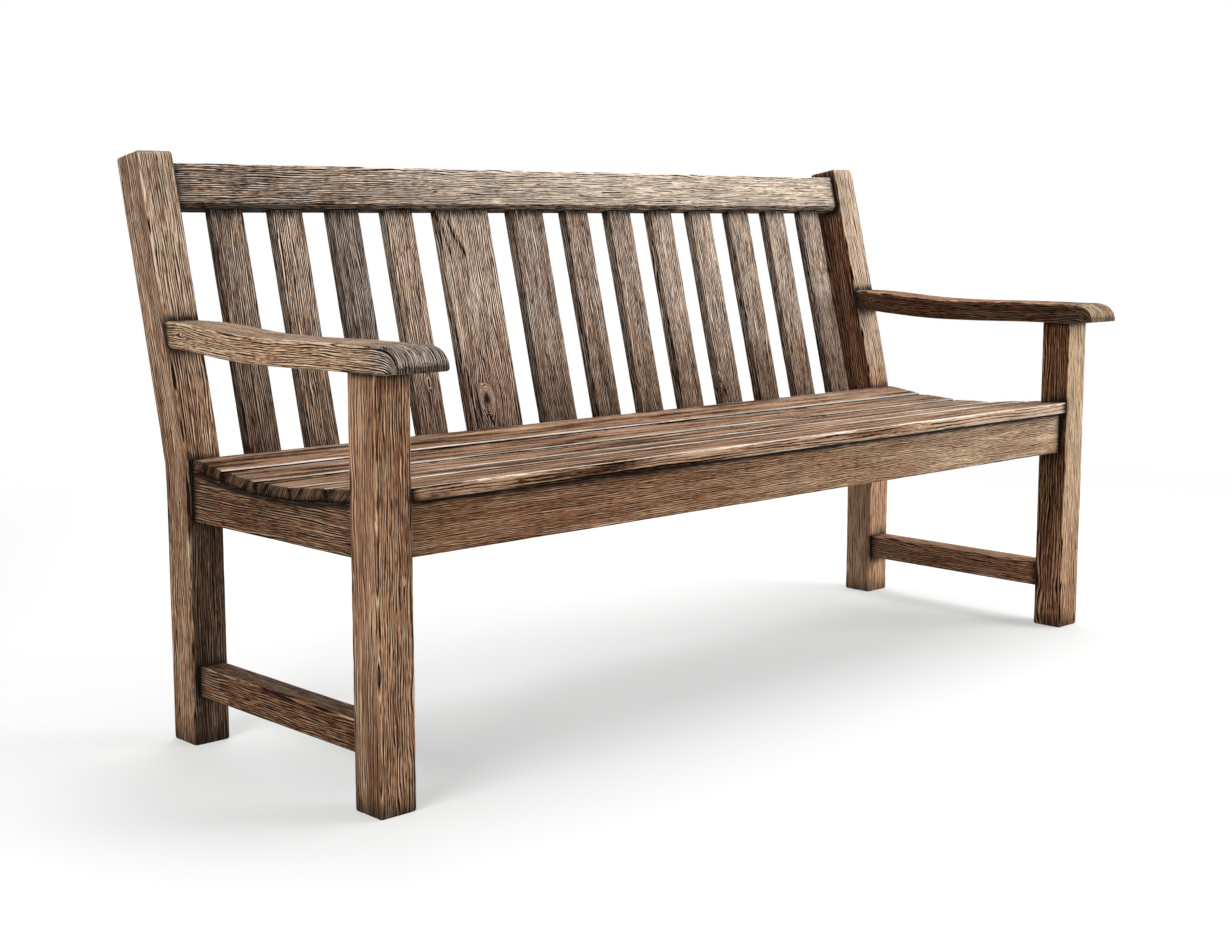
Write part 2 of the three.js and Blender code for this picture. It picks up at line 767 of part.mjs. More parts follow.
screwPlaces.forEach(({ y, seat }, i) => {
  [['left', -sideRailMiddle], ['centre', 0], ['right', sideRailMiddle]].forEach(([place, x]) => {
    const screw = piece(`seat_screw_${i + 1}_${place}`, seatScrew(), screwSteel);
    screw.position.set(x, y, seat);
    bench.add(screw);
  });
});

// The bench stands on z = 0, centred over the origin by its own box.
bench.updateMatrixWorld(true);
const extent = new THREE.Box3().setFromObject(bench);
bench.position.y = -(extent.min.y + extent.max.y) / 2;
bench.position.x = -(extent.min.x + extent.max.x) / 2;
bench.updateMatrixWorld(true);

export default bench;
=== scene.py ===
import math
from itertools import product

import bmesh
import bpy
import numpy as np
from mathutils import Matrix, Vector
from mathutils.bvhtree import BVHTree


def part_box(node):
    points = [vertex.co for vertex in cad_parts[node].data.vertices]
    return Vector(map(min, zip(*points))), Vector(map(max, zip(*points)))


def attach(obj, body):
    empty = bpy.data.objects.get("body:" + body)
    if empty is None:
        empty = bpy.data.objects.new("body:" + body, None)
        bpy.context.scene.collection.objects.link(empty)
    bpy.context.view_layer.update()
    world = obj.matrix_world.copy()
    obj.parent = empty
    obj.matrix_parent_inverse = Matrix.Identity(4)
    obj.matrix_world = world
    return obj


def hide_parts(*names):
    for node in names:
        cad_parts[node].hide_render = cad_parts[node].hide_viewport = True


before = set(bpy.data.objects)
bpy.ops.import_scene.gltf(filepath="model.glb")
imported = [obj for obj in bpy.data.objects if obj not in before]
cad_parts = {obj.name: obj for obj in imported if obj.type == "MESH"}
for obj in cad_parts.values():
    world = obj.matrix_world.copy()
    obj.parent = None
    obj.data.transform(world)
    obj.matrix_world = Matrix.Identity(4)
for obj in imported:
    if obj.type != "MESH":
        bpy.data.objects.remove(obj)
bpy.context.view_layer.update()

# Some light and shade is also painted into the colour of the timbers.
# A weathered oak garden bench. Every timber is a finely cut copy of its solid, worn along the
# grain: ridges stand proud, the soft wood between them is washed out, and the arrises are rubbed.
# Places are in metres. The sizes of grain, wear and flaws are in millimetres.

MM = 0.001
LEAN = math.radians(14)                 # rake of the back

# The faces of the bench, by the way they look.
UP = (0, 0, 1)
FRONT = (0, -1, 0)
LEFT = (-1, 0, 0)                       # on the right end this is the face along the seat
UNDER_FRONT = (0, -0.6, -0.8)           # the eased lower front edge of the top rail, darkened there as painted shade

# The axes of a timber: along the grain, across its face, and through its thickness.
UPRIGHT = Matrix(((0, 0, 1), (1, 0, 0), (0, 1, 0)))
LENGTHWAYS = Matrix(((1, 0, 0), (0, 1, 0), (0, 0, 1)))
FRONT_TO_BACK = Matrix(((0, 1, 0), (-1, 0, 0), (0, 0, 1)))
SIDE_RAIL = Matrix(((0, 1, 0), (0, 0, 1), (1, 0, 0)))
LONG_RAIL = Matrix(((1, 0, 0), (0, 0, 1), (0, -1, 0)))
LEANING = Matrix((
    (0, math.sin(LEAN), math.cos(LEAN)), (1, 0, 0), (0, math.cos(LEAN), -math.sin(LEAN))))
LEANING_RAIL = Matrix((
    (1, 0, 0), (0, math.sin(LEAN), math.cos(LEAN)), (0, -math.cos(LEAN), math.sin(LEAN))))

# ---- Nodes and colours ----------------------------------------------------------------------


def linear(code):
    """An sRGB hex colour as linear RGBA."""
    parts = [int(code[i:i + 2], 16) / 255 for i in (1, 3, 5)]
    return [p / 12.92 if p <= 0.04045 else ((p + 0.055) / 1.055) ** 2.4 for p in parts] + [1]


def add(tree, kind, inputs=None, **settings):
    """Adds a node with its own settings, and its inputs by name or number.

    An input is a constant, a socket, or a whole node, which gives its first output. A mix node
    takes the share of its second colour as 0, and its colours as 1 and 2.
    """
    node = tree.nodes.new("ShaderNode" + kind)
    for name, value in settings.items():
        setattr(node, name, value)
    for socket, value in (inputs or {}).items():
        if isinstance(value, bpy.types.Node):
            value = value.outputs[0]
        if isinstance(value, bpy.types.NodeSocket):
            tree.links.new(value, node.inputs[socket])
        else:
            node.inputs[socket].default_value = value
    return node


def set_stops(ramp, stops):
    """Gives a colour ramp its stops, as (place, hex colour)."""
    elements = ramp.color_ramp.elements
    for place, _ in stops[2:]:
        elements.new(place)
    for element, (place, code) in zip(elements, stops):
        element.position = place
        element.color = linear(code)


def new_material(name):
    material = bpy.data.materials.new(name)
    material.use_nodes = True
    tree = material.node_tree
    return material, tree, tree.nodes["Principled BSDF"]


# ---- Weathered oak --------------------------------------------------------------------------

# The grain in millimetres: its length, its width and its thickness. A year's growth in oak is 1 to
# 3 mm wide, its fibres are finer still and its pores are 0.3 mm. All are drawn coarser, because
# they are too fine to show.
GROWTH_PITCH = 3.5
LINE_LENGTH = 60                        # before a growth line fades or strays
FINE_LINE_LENGTH = 42
LINE_THICKNESS = 30
FIBRES = (13, 0.8, 0.8)
PORES = (20, 0.8, 0.8)
BANDS = (220, 14, 40)                   # broad pale and dark figure
CRACKS = (130, 6, 30)                   # dark hairlines, along the middle of this noise
CRACKED_STRETCHES = (70, 9, 40)         # where there are any such hairlines
SILVERED_PATCHES = (130, 32, 32)
CLOUDS = (90, 24, 24)                   # paler and darker patches

LINE_SWAY = 9.0                         # of the growth lines, in radians of their wave
HOLLOW_WAVE = (0.0, 3.2)                # shift and sharpness of the dark hollow of a growth line
RIDGE_WAVE = (2.3, 2.2)                 # and of the pale ridge beside it
FINE_LINES = 2.1                        # fine growth lines to each strong one
HAIRLINE = 0.018                        # width of a crack, as a share of its noise

# The noise from which each of these begins to show, and that at which it shows fully.
LINES_SHOW = (0.38, 0.60)
CRACKS_SHOW = (0.52, 0.6)
PORES_SHOW = (0.58, 0.70)
SILVER_SHOWS = (0.45, 0.75)

SURFACE = 0.70                          # height of plain wood, from 0 for dirt to 1 for white
LIGHTENING = 0.45                        # how much paler a timber gets for its value over 1, from bleaching and painted light
PAST_PALEST = 0.1                       # and how far past the palest shade it may go
CARVED_ROUGHNESS = 0.95                 # in the hollows
WORN_ROUGHNESS = 0.78                   # on the ridges
SILVER_SATURATION = 0.42                # of silvered wood, against the brown
SILVER_VALUE = 1.02
CLOUD_DARK = 0.84                       # darkest and palest of the clouds
CLOUD_PALE = 1.14
# the colour of dirt, and of the shade painted where timbers meet
GRIME_AND_SHADE = "#120c08"
REDDISH = "#ffdfd3"                     # tints wood that has kept its red heart


def streaks(tree, follows, size, detail=0.0):
    """Soft streaks in the wood, from 0 to 1, of a size in millimetres."""
    scale = [1 / (part * MM) for part in size]
    placed = add(tree, "Mapping", {"Vector": follows, "Scale": scale})
    return add(tree, "TexNoise", {"Vector": placed, "Scale": 1.0, "Detail": detail})


def growth_lines(tree, ring, flow, per_ring, length, least):
    """The hollows and the ridges of growth lines that sway, and fade to least along the way."""
    width = GROWTH_PITCH / per_ring
    sway = streaks(tree, flow, (length, 2.2 * width, LINE_THICKNESS))
    sway = add(tree, "Math", {0: sway, 1: LINE_SWAY}, operation="MULTIPLY")
    phase = add(tree, "Math", {
        0: ring, 1: 2 * math.pi * per_ring, 2: sway}, operation="MULTIPLY_ADD")
    present = add(tree, "MapRange", {
        "Value": streaks(tree, flow, (0.8 * length, 1.5 * width, LINE_THICKNESS)),
        "From Min": LINES_SHOW[0], "From Max": LINES_SHOW[1], "To Min": least, "To Max": 1.0})
    made = []
    for shift, sharpness in (HOLLOW_WAVE, RIDGE_WAVE):
        wave = add(tree, "Math", {0: phase, 1: shift}, operation="ADD")
        wave = add(tree, "Math", {0: wave}, operation="COSINE")
        wave = add(tree, "Math", {0: wave, 1: -0.5, 2: 0.5}, operation="MULTIPLY_ADD")
        wave = add(tree, "Math", {0: wave, 1: sharpness}, operation="POWER")
        made.append(add(tree, "Math", {0: wave, 1: present}, operation="MULTIPLY"))
    return made


def hairline_cracks(tree, flow):
    """Dark hairlines along the grain, in some stretches of it."""
    off_middle = add(tree, "Math", {0: streaks(tree, flow, CRACKS), 1: 0.5}, operation="SUBTRACT")
    off_middle = add(tree, "Math", {0: off_middle}, operation="ABSOLUTE")
    crack = add(tree, "MapRange", {
        "Value": off_middle, "From Min": 0.0, "From Max": HAIRLINE, "To Min": 1.0, "To Max": 0.0})
    cracked = add(tree, "MapRange", {
        "Value": streaks(tree, flow, CRACKED_STRETCHES),
        "From Min": CRACKS_SHOW[0], "From Max": CRACKS_SHOW[1]})
    return add(tree, "Math", {0: crack, 1: cracked}, operation="MULTIPLY")


def weathered_oak(name, stops, depth, rubbed, silver, streak=0.6, run=1.0, palest=2.0,
                  specular=0.1):
    """Oak left out in the rain: pale ridges, dark soft lines between them, silvered patches.

    depth is how strongly the grain is carved, rubbed how much paler an arris gets from rubbing and
    painted highlight, silver how grey the silvered patches are, streak how strong the broad figure
    is, run how far the growth lines run on, and palest the palest that the wood gets where it isn't
    rubbed.
    """
    material, tree, surface = new_material(name)
    grain, tone = (
        add(tree, "Attribute", attribute_name=mark).outputs["Vector"] for mark in ("grain", "tone"))
    ring, wear_and_highlight, grime_and_shade, check = (
        add(tree, "Attribute", attribute_name=mark).outputs["Fac"]
        for mark in ("ring", "wear_and_highlight", "grime_and_shade", "check"))
    silvered, value, figure = add(tree, "SeparateXYZ", {0: tone}).outputs

    # Along the grain, across the growth lines however they bend, and through the timber.
    along, _, through = add(tree, "SeparateXYZ", {0: grain}).outputs
    across = add(tree, "Math", {0: ring, 1: GROWTH_PITCH * MM}, operation="MULTIPLY")
    flow = add(tree, "CombineXYZ", {0: along, 1: across, 2: through})

    hollow, ridge = growth_lines(tree, ring, flow, 1.0, LINE_LENGTH * run, 0.1)
    fine_hollow, _ = growth_lines(tree, ring, flow, FINE_LINES, FINE_LINE_LENGTH * run, 0.0)
    fibre = streaks(tree, grain, FIBRES, detail=1.0)
    fibre = add(tree, "Math", {0: fibre, 1: 0.5}, operation="SUBTRACT")
    pores = add(tree, "MapRange", {
        "Value": streaks(tree, grain, PORES),
        "From Min": PORES_SHOW[0], "From Max": PORES_SHOW[1]})

    # The height of the surface: what the weather has carved, less the cracks and splits.
    carved = 0.0
    for part, share in (
            (hollow, -0.85), (ridge, 0.42), (fine_hollow, -0.38), (fibre, 0.75), (pores, -0.35)):
        carved = add(tree, "Math", {0: part, 1: share * depth, 2: carved}, operation="MULTIPLY_ADD")
    height = add(tree, "Math", {0: carved, 1: figure, 2: SURFACE}, operation="MULTIPLY_ADD")
    for part, share in ((hairline_cracks(tree, flow), -0.30), (check, -0.8)):
        height = add(tree, "Math", {0: part, 1: share, 2: height}, operation="MULTIPLY_ADD")

    # The shade follows the height. A timber's value above 1 makes it paler, for bleaching and for
    # painted light.
    bands = add(tree, "Math", {
        0: streaks(tree, flow, BANDS, detail=1.0), 1: 0.5}, operation="SUBTRACT")
    lightened = add(tree, "Math", {0: value, 1: 1.0}, operation="SUBTRACT")
    lightened = add(tree, "Math", {0: lightened, 1: 0.0}, operation="MAXIMUM")
    limit = add(tree, "Math", {
        0: lightened, 1: PAST_PALEST, 2: palest}, operation="MULTIPLY_ADD")
    shade = add(tree, "Math", {0: bands, 1: streak, 2: height}, operation="MULTIPLY_ADD")
    shade = add(tree, "Math", {0: lightened, 1: LIGHTENING, 2: shade}, operation="MULTIPLY_ADD")
    shade = add(tree, "Math", {0: shade, 1: limit}, operation="MINIMUM")
    shade = add(tree, "Math", {0: wear_and_highlight, 1: rubbed, 2: shade}, operation="MULTIPLY_ADD")
    colour = add(tree, "ValToRGB", {0: shade})
    set_stops(colour, stops)

    # Large patches where the surface has silvered, on top of the timber's own silver.
    grey = add(tree, "HueSaturation", {
        "Saturation": SILVER_SATURATION, "Value": SILVER_VALUE, "Color": colour})
    silvering = add(tree, "MapRange", {
        "Value": streaks(tree, grain, SILVERED_PATCHES, detail=2.0),
        "From Min": SILVER_SHOWS[0], "From Max": SILVER_SHOWS[1], "To Min": 0.0, "To Max": silver})
    silvering = add(tree, "Math", {0: silvering, 1: silvered}, operation="ADD", use_clamp=True)
    colour = add(tree, "MixRGB", {0: silvering, 1: colour, 2: grey})

    # Clouds and a value under 1 darken the timber, a silver under 0 reddens it, then dirt and
    # painted shade.
    cloud = add(tree, "MapRange", {
        "Value": streaks(tree, grain, CLOUDS, detail=2.0),
        "From Min": 0.3, "From Max": 0.7, "To Min": CLOUD_DARK, "To Max": CLOUD_PALE})
    darkened = add(tree, "Math", {0: value, 1: 1.0}, operation="MINIMUM")
    darkened = add(tree, "Math", {0: cloud, 1: darkened}, operation="MULTIPLY")
    warmth = add(tree, "MapRange", {
        "Value": value, "From Min": 0.3, "From Max": 1.1, "To Min": 1.05, "To Max": 1.0})
    colour = add(tree, "HueSaturation", {
        "Value": darkened, "Saturation": warmth, "Color": colour})
    redness = add(tree, "Math", {0: silvered, 1: -1.0}, operation="MULTIPLY", use_clamp=True)
    colour = add(tree, "MixRGB", {
        0: redness, 1: colour, 2: linear(REDDISH)}, blend_type="MULTIPLY")
    colour = add(tree, "MixRGB", {0: grime_and_shade, 1: colour, 2: linear(GRIME_AND_SHADE)})

    rough = add(tree, "MapRange", {
        "Value": height, "From Min": 0.2, "From Max": 0.8,
        "To Min": CARVED_ROUGHNESS, "To Max": WORN_ROUGHNESS})
    bump = add(tree, "Bump", {"Height": height, "Distance": 1.0 * MM, "Strength": 1.0})
    tree.links.new(colour.outputs[0], surface.inputs["Base Color"])
    tree.links.new(rough.outputs[0], surface.inputs["Roughness"])
    tree.links.new(bump.outputs[0], surface.inputs["Normal"])
    surface.inputs["Specular IOR Level"].default_value = specular
    return material


# Oak, planed and then left bare for years. The eye gets a matt warm brown, with pale hard ridges
# and near-black soft lines along the grain.
FRAME_OAK = weathered_oak("weathered oak, frame", (
    (0.0, "#1c0f09"), (0.22, "#3d2417"), (0.42, "#67432e"),
    (0.62, "#8d664a"), (0.82, "#b08a6a"), (1.0, "#d6bc9c")), depth=1.2, rubbed=0.35, silver=0.0)

# The same oak where rain and sun reach it most. It looks dull and grey-brown, with deeper grain
# and bleached ridges.
BACK_OAK = weathered_oak("silvered oak, back", (
    (0.0, "#171110"), (0.22, "#352b28"), (0.42, "#645048"),
    (0.62, "#957762"), (0.82, "#c5a286"), (1.0, "#efdcc6")), depth=1.5, rubbed=0.3, silver=0.3)

# The same oak worn smooth by sitting. It has long soft bands of pale and dark brown, little sheen
# and arrises whitened by rubbing and by a painted highlight.
SEAT_OAK = weathered_oak("oak worn smooth, seat", (
    (0.0, "#150c07"), (0.25, "#412a1b"), (0.5, "#7b5943"), (0.72, "#ae8568"),
    (0.90, "#d2aa8b"), (0.98, "#e4cdb4"), (1.0, "#f8eddd")), depth=1.15, rubbed=1.9, silver=0.0,
    streak=2.9, run=2.5, palest=0.88, specular=0.03)

# ---- Noise and growth rings -----------------------------------------------------------------

# Each timber is cut from its own place in the wood, this many millimetres on from the last.
NEXT_TIMBER = np.array((371.3, 97.1, 53.7))

# The patterns of growth and wear, each with the length, width and thickness of its patches in
# millimetres and its seed. A sway of the growth lines is how many millimetres they go to one side,
# and a timber's own wander makes the wide ones wider or narrower.
WIDE_SWAYS = ((6, ((260, 80, 80), 1)), (1.7, ((80, 24, 24), 2)))
SMALL_SWAYS = ((0.5, ((32, 8, 8), 3)), (0.2, ((14, 4, 4), 4)))
WASHED_LINES = ((90, 12, 50), 5)        # how the washed-out lines drift from the growth lines
WASHED_STRETCHES = ((80, 9, 40), 6)     # where they are deep
CHIPS = ((28, 14, 14), 7)               # along the arrises
UNEVEN_FACES = ((150, 35, 35), 8)
SPLIT_COURSE = ((22, 60, 60), 9)        # how a split strays from its line
RUBBED_PATCHES = ((40, 15, 15), 10)
DIRT_SPECKLE = ((25, 5, 5), 11)
RAGGED_ENDS = ((400, 22, 40), 12)

KNOT_LENGTH = 2.2                       # how much longer than wide the parting of the rings is
KNOT_RINGS = 1.6                        # how much closer the rings are inside a knot
RING_SHAPE = 1.5                        # between square and round, so that every face has lines

# Large numbers that scatter the corners of the noise's cells.
SCATTER = np.array((374761393, 668265263, 2147483647))
SCATTER_SEED = 144269
SCATTER_AGAIN = 1274126177


def noise(points, seed):
    """Smooth gradient noise over points in cells of size 1, about -1 to 1."""
    cell = np.floor(points).astype(np.int64)
    part = points - cell
    fade = part ** 3 * (part * (part * 6 - 15) + 10)
    total = np.zeros(len(points))
    for corner in product((0, 1), repeat=3):
        corner = np.array(corner)
        code = (cell + corner) @ SCATTER + seed * SCATTER_SEED
        code = (code ^ (code >> 13)) * SCATTER_AGAIN
        code = code ^ (code >> 16)
        slopes = np.stack([(code >> shift) & 255 for shift in (0, 8, 16)], axis=1) / 127.5 - 1
        weight = np.where(corner, fade, 1 - fade).prod(axis=1)
        total += weight * (slopes * (part - corner)).sum(axis=1)
    return 1.4 * total                  # nearly fills the range


def patches(points, pattern):
    """The noise of a pattern of growth or wear over points in millimetres."""
    size, seed = pattern
    return noise(points / size, seed)


def smooth_step(values, low, high):
    share = np.clip((values - low) / (high - low), 0, 1)
    return share * share * (3 - 2 * share)


def growth_rings(at, pith, knots, nose, wander):
    """Distance from the heart of the tree in millimetres, swaying along the timber.

    The rings part round a knot and close again behind it, and inside they circle it. Towards a
    rounded nose they keep to the surface.
    """
    place = at.local + (at.start, 0, 0)
    sway = 0
    for width, pattern in WIDE_SWAYS:
        sway = sway + wander * width * patches(place, pattern)
    for width, pattern in SMALL_SWAYS:
        sway = sway + width * patches(place, pattern)
    sides = place.copy()
    inside = np.zeros(len(place))
    for along, side, radius, axis in knots:
        gap = sides[:, axis] - side
        away = np.hypot((place[:, 0] - (along + at.start)) / KNOT_LENGTH, gap)
        bend = np.where(away > radius, 1 - (radius / np.maximum(away, radius)) ** 2, 0)
        sides[:, axis] = side + gap * bend
        inside += np.clip(radius - away, 0, None)
    if nose:
        kept = smooth_step(place[:, 0], nose[0] + at.start, nose[1] + at.start)
        sides[:, 2] *= np.maximum(kept, smooth_step(abs(at.normal[:, 1]), 0.5, 0.8))
    across, through = abs(sides[:, 1] - pith[0]), abs(sides[:, 2] - pith[1])
    reach = (across ** RING_SHAPE + through ** RING_SHAPE) ** (1 / RING_SHAPE)
    return reach + sway + KNOT_RINGS * inside


def vary_along(values, stains_and_shading, share, facing):
    """Multiplies values over stretches of a timber, for the wood's own changes and for painted
    light and shade.

    Each entry is (the side that the changed faces look to or None for all, from, to, factor). From
    and to are shares of the timber's length, and the change grows from the one to the other.
    """
    for side, start, end, factor in stains_and_shading:
        reach = smooth_step(share, start, end)
        if side is not None:
            reach = reach * smooth_step(facing @ np.array(side), 0.3, 0.9)
        values = values * (1 + (factor - 1) * reach)
    return values


# ---- Cutting a timber finely ----------------------------------------------------------------

SAME_POINT = 0.01 * MM
PAST_CUT = 0.1 * MM                     # what reaches this far past a cut is cut again
BEND_ABOVE_RAIL = 8 * MM                # from the top of the rear seat rail to the bend of a post
EDGE_STRIP = 4 * MM                     # along the edge of an armrest, where its line is read


def post_bend(bm):
    """The rear posts stand upright to above the seat, and lean back from there."""
    bend_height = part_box("rear_seat_rail")[1].z + BEND_ABOVE_RAIL

    def offset(height):
        return math.tan(LEAN) * np.maximum(0, height - bend_height)
    return offset


def armrest_bend(bm):
    """The armrests dip and rise along the line of their own tops."""
    edge = max(vert.co.y for vert in bm.verts) - EDGE_STRIP
    tops = {}
    for vert in bm.verts:
        if vert.co.y > edge:
            station = round(vert.co.x, 4)
            tops[station] = max(tops.get(station, vert.co.z), vert.co.z)
    stations = sorted(tops)
    heights = [tops[station] for station in stations]

    def offset(along):
        return np.interp(along, stations, heights)
    return offset


def slice_up(bm, axis, spacing):
    """Cuts a mesh by evenly spaced planes across one axis, so that it can take relief."""
    places = [vert.co[axis] for vert in bm.verts]
    low, high = min(places), max(places)
    count = max(1, round((high - low) / spacing))
    normal = Vector([i == axis for i in range(3)])
    rest = bm.edges[:] + bm.faces[:]
    for i in range(1, count):
        place = low + (high - low) * i / count
        cut = bmesh.ops.bisect_plane(
            bm, geom=rest, dist=SAME_POINT, plane_co=normal * place, plane_no=normal)
        rest = [
            part for part in cut["geom"]
            if not isinstance(part, bmesh.types.BMVert)
            and max(vert.co[axis] for vert in part.verts) > place + PAST_CUT]


def cut_finely(node, axes, spacing, bend):
    """A finely cut copy of a solid, turned along its grain and straightened.

    Also gives what says how far its bend takes it to one side at each place along it.
    """
    bm = bmesh.new()
    bm.from_mesh(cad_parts[node].data)
    bmesh.ops.remove_doubles(bm, verts=bm.verts, dist=SAME_POINT)
    bmesh.ops.join_triangles(
        bm, faces=bm.faces, angle_face_threshold=0.01, angle_shape_threshold=math.pi)
    bmesh.ops.transform(bm, matrix=axes.to_4x4(), verts=bm.verts)
    offset = bend(bm) if bend else None
    if offset:
        for vert in bm.verts:
            vert.co.z -= offset(vert.co.x)
    for axis in (1, 2, 0):
        slice_up(bm, axis, spacing[axis] * MM)
    mesh = bpy.data.meshes.new("worn_" + node)
    bm.to_mesh(mesh)
    bm.free()
    return mesh, offset


def read_points(mesh, field):
    values = np.empty(len(mesh.vertices) * 3)
    mesh.vertices.foreach_get(field, values)
    return values.reshape(-1, 3)


def store(mesh, name, values):
    kind = "FLOAT" if values.ndim == 1 else "FLOAT_VECTOR"
    field = "value" if values.ndim == 1 else "vector"
    values = values.astype(np.float32).ravel()
    mesh.attributes.new(name, kind, "POINT").data.foreach_set(field, values)


class Surface:
    """The points of a straightened timber, along, across and through it."""

    def __init__(self, mesh, axes, seed):
        self.place = read_points(mesh, "co")
        self.normal = read_points(mesh, "normal")
        low, high = self.place.min(axis=0), self.place.max(axis=0)
        self.turn = np.array(axes)
        self.facing = self.normal @ self.turn               # the way they look on the bench
        self.local = (self.place - (low + high) / 2) / MM   # from the middle of the timber
        self.behind = (self.place[:, 1] - high[1]) / MM     # from the edge with the highest y
        self.share = (self.place[:, 0] - low[0]) / (high[0] - low[0])
        self.wood = self.local + seed * NEXT_TIMBER         # in the wood it was cut from
        self.start = seed * NEXT_TIMBER[0]


# ---- Wear, flaws, dirt, and painted highlight and shade -------------------------------------

DARKENING_REACH = 36                         # how far dirt and painted shade spread from where timbers meet
TOUCHING = (0.74, 0.94)                 # nearness from and to which timbers count as meeting
# Dirt and painted shade where timbers meet, and painted shade in a band around them
JOINT_DIRT_AND_SHADE = 0.9
NEARBY_SHADE = 0.6
FLOOR_DIRT = 0.8
SPLASHED = 40                           # height above the floor that is dark with splashes
STEP_SHADE = 0.9                         # painted shade below the arris of the next seat board
LIGHT_FROM = np.array((-0.05, -0.2, 0.95))     # where the painted highlight on the arrises is lit from: above, and a little from the front
UNLIT_ARRIS = 0.12                            # how pale an arris turned away from that light still gets
BACK_EDGE = (-22, -2)                   # where a seat board is worn down towards its back edge
STEP = (-8, -3)                         # and where the painted shade lies on it
KNOT_HEART = (0.15, 0.55)               # edge of a knot's dark heart, in radii of the knot
KNOT_RIM = 0.3                          # width of its pale rim, in radii
KNOT_STRETCH = 1.5                      # how much longer than wide a knot is
SPLIT_EDGE = (0.4, 1.3)                 # where a split closes, in its own widths
SPLIT_STRAY = 1.2                       # how far it strays from its line
SPLIT_POINT = 4                         # how much longer than wide its pointed ends are
FLAW_DEPTH = 1.8
RIM_HEIGHT = 0.5
UNEVENNESS = 0.25
RUBBED_OFF = 0.7                        # share of the dirt and painted shade that rubbing takes off
WASHED_OFF = 0.95                       # and that rain does
SAWN_DARKER = 0.5                       # how much darker sawn ends are
RUBBED_VALUE = 1.1                      # what the value of a rubbed and highlighted place comes up to


def neighbour_tree(node):
    """Every solid but this one, to measure how near the others are."""
    corners, faces = [], []
    for name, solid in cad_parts.items():
        if name != node:
            start = len(corners)
            corners += [vert.co.copy() for vert in solid.data.vertices]
            faces += [[start + i for i in face.vertices] for face in solid.data.polygons]
    return BVHTree.FromPolygons(corners, faces)


def nearness(node, points, reach):
    """How near the other timbers are to each point: 1 where they touch, 0 from reach on."""
    tree = neighbour_tree(node)
    gaps = [tree.find_nearest(Vector(point), reach)[3] for point in points]
    return np.array([0 if gap is None else 1 - gap / reach for gap in gaps])


def spread(values, mesh, times):
    """Evens out values over the edges of a mesh."""
    ends = np.empty(len(mesh.edges) * 2, np.int64)
    mesh.edges.foreach_get("vertices", ends)
    first, second = ends.reshape(-1, 2).T
    count = np.bincount(ends, minlength=len(values))
    for _ in range(times):
        around = np.bincount(first, values[second], len(values))
        around += np.bincount(second, values[first], len(values))
        values = 0.4 * values + 0.6 * around / np.maximum(count, 1)
    return values


def find_arrises(at, mesh, sharp_ends, times):
    """The arrises, from 0 to 1, where the normal turns from one face to the next."""
    along, across, through = abs(at.normal).T
    ends = 0 if sharp_ends else along * (across + through)
    turning = 2 * (across * through + ends)
    return spread(np.clip(1.5 * turning - 0.5, 0, 1), mesh, times)


def find_flaws(at, knots, splits):
    """The dark hearts of the knots and the open splits, and the pale rims of the knots."""
    check = np.zeros(len(at.place))
    rim = np.zeros(len(at.place))
    for along, side, radius, axis in knots:
        off = at.local[:, axis] - side
        away = np.hypot((at.local[:, 0] - along) / KNOT_STRETCH, off) / radius
        check = np.maximum(check, 1 - smooth_step(away, *KNOT_HEART))
        rim = np.maximum(rim, np.exp(-((away - 1.0) / KNOT_RIM) ** 2))
    for along, side, end, end_side, width in splits:
        run = np.clip((at.local[:, 0] - along) / (end - along), 0, 1)
        beyond = at.local[:, 0] - (along + (end - along) * run)
        middle = side + (end_side - side) * run
        off = at.local[:, 1] - middle - SPLIT_STRAY * patches(at.wood, SPLIT_COURSE)
        open_width = width * np.sqrt(np.clip(np.sin(np.pi * run), 0.02, 1))
        split = 1 - smooth_step(np.hypot(off, beyond / SPLIT_POINT) / open_width, *SPLIT_EDGE)
        split *= at.facing[:, 1] < 0.5              # it doesn't go through to the back
        check = np.maximum(check, split)
    return check, rim


def find_depth(at, rings, pitch, arris, relief, round_over):
    """How deep the weather has gone: the soft lines washed out, and the arrises chipped."""
    flow = np.column_stack((at.wood[:, 0], rings, at.wood[:, 2]))
    hollows = 0.5 - 0.5 * np.cos(np.pi * rings / pitch + 2 * patches(flow, WASHED_LINES))
    hollows *= np.clip(0.55 + 0.7 * patches(flow, WASHED_STRETCHES), 0, 1)
    chips = 0.3 + 1.4 * np.clip(patches(at.wood, CHIPS) - 0.1, 0, 1)
    uneven = patches(at.wood, UNEVEN_FACES)
    return relief * hollows + round_over * arris * chips + UNEVENNESS * uneven


def find_wear_and_highlight(at, arris, clean):
    """Rubbed arrises are pale, with a painted highlight where they face the light from above and
    the front, and in full where they are washed clean.
    """
    lit_share = np.maximum(np.clip(UNLIT_ARRIS + at.facing @ LIGHT_FROM, 0.1, 1), clean)
    patchy = 1.0 + 0.5 * patches(at.wood, RUBBED_PATCHES)
    return np.clip(arris * lit_share * patchy, 0, 1)


def find_dirt_and_shade(at, near, height, wear_and_highlight, clean):
    """Dirt near the floor, dirt and painted shade where timbers meet, painted shade near them;
    rubbing and rain take some off.
    """
    grime_and_shade = JOINT_DIRT_AND_SHADE * smooth_step(near, *TOUCHING) + NEARBY_SHADE * near ** 2
    grime_and_shade = np.maximum(grime_and_shade, FLOOR_DIRT * (1 - smooth_step(height, 0, SPLASHED)))
    grime_and_shade *= 0.85 + 0.5 * patches(at.wood, DIRT_SPECKLE)
    grime_and_shade *= 1 - RUBBED_OFF * wear_and_highlight
    grime_and_shade *= 1 - WASHED_OFF * clean
    return grime_and_shade


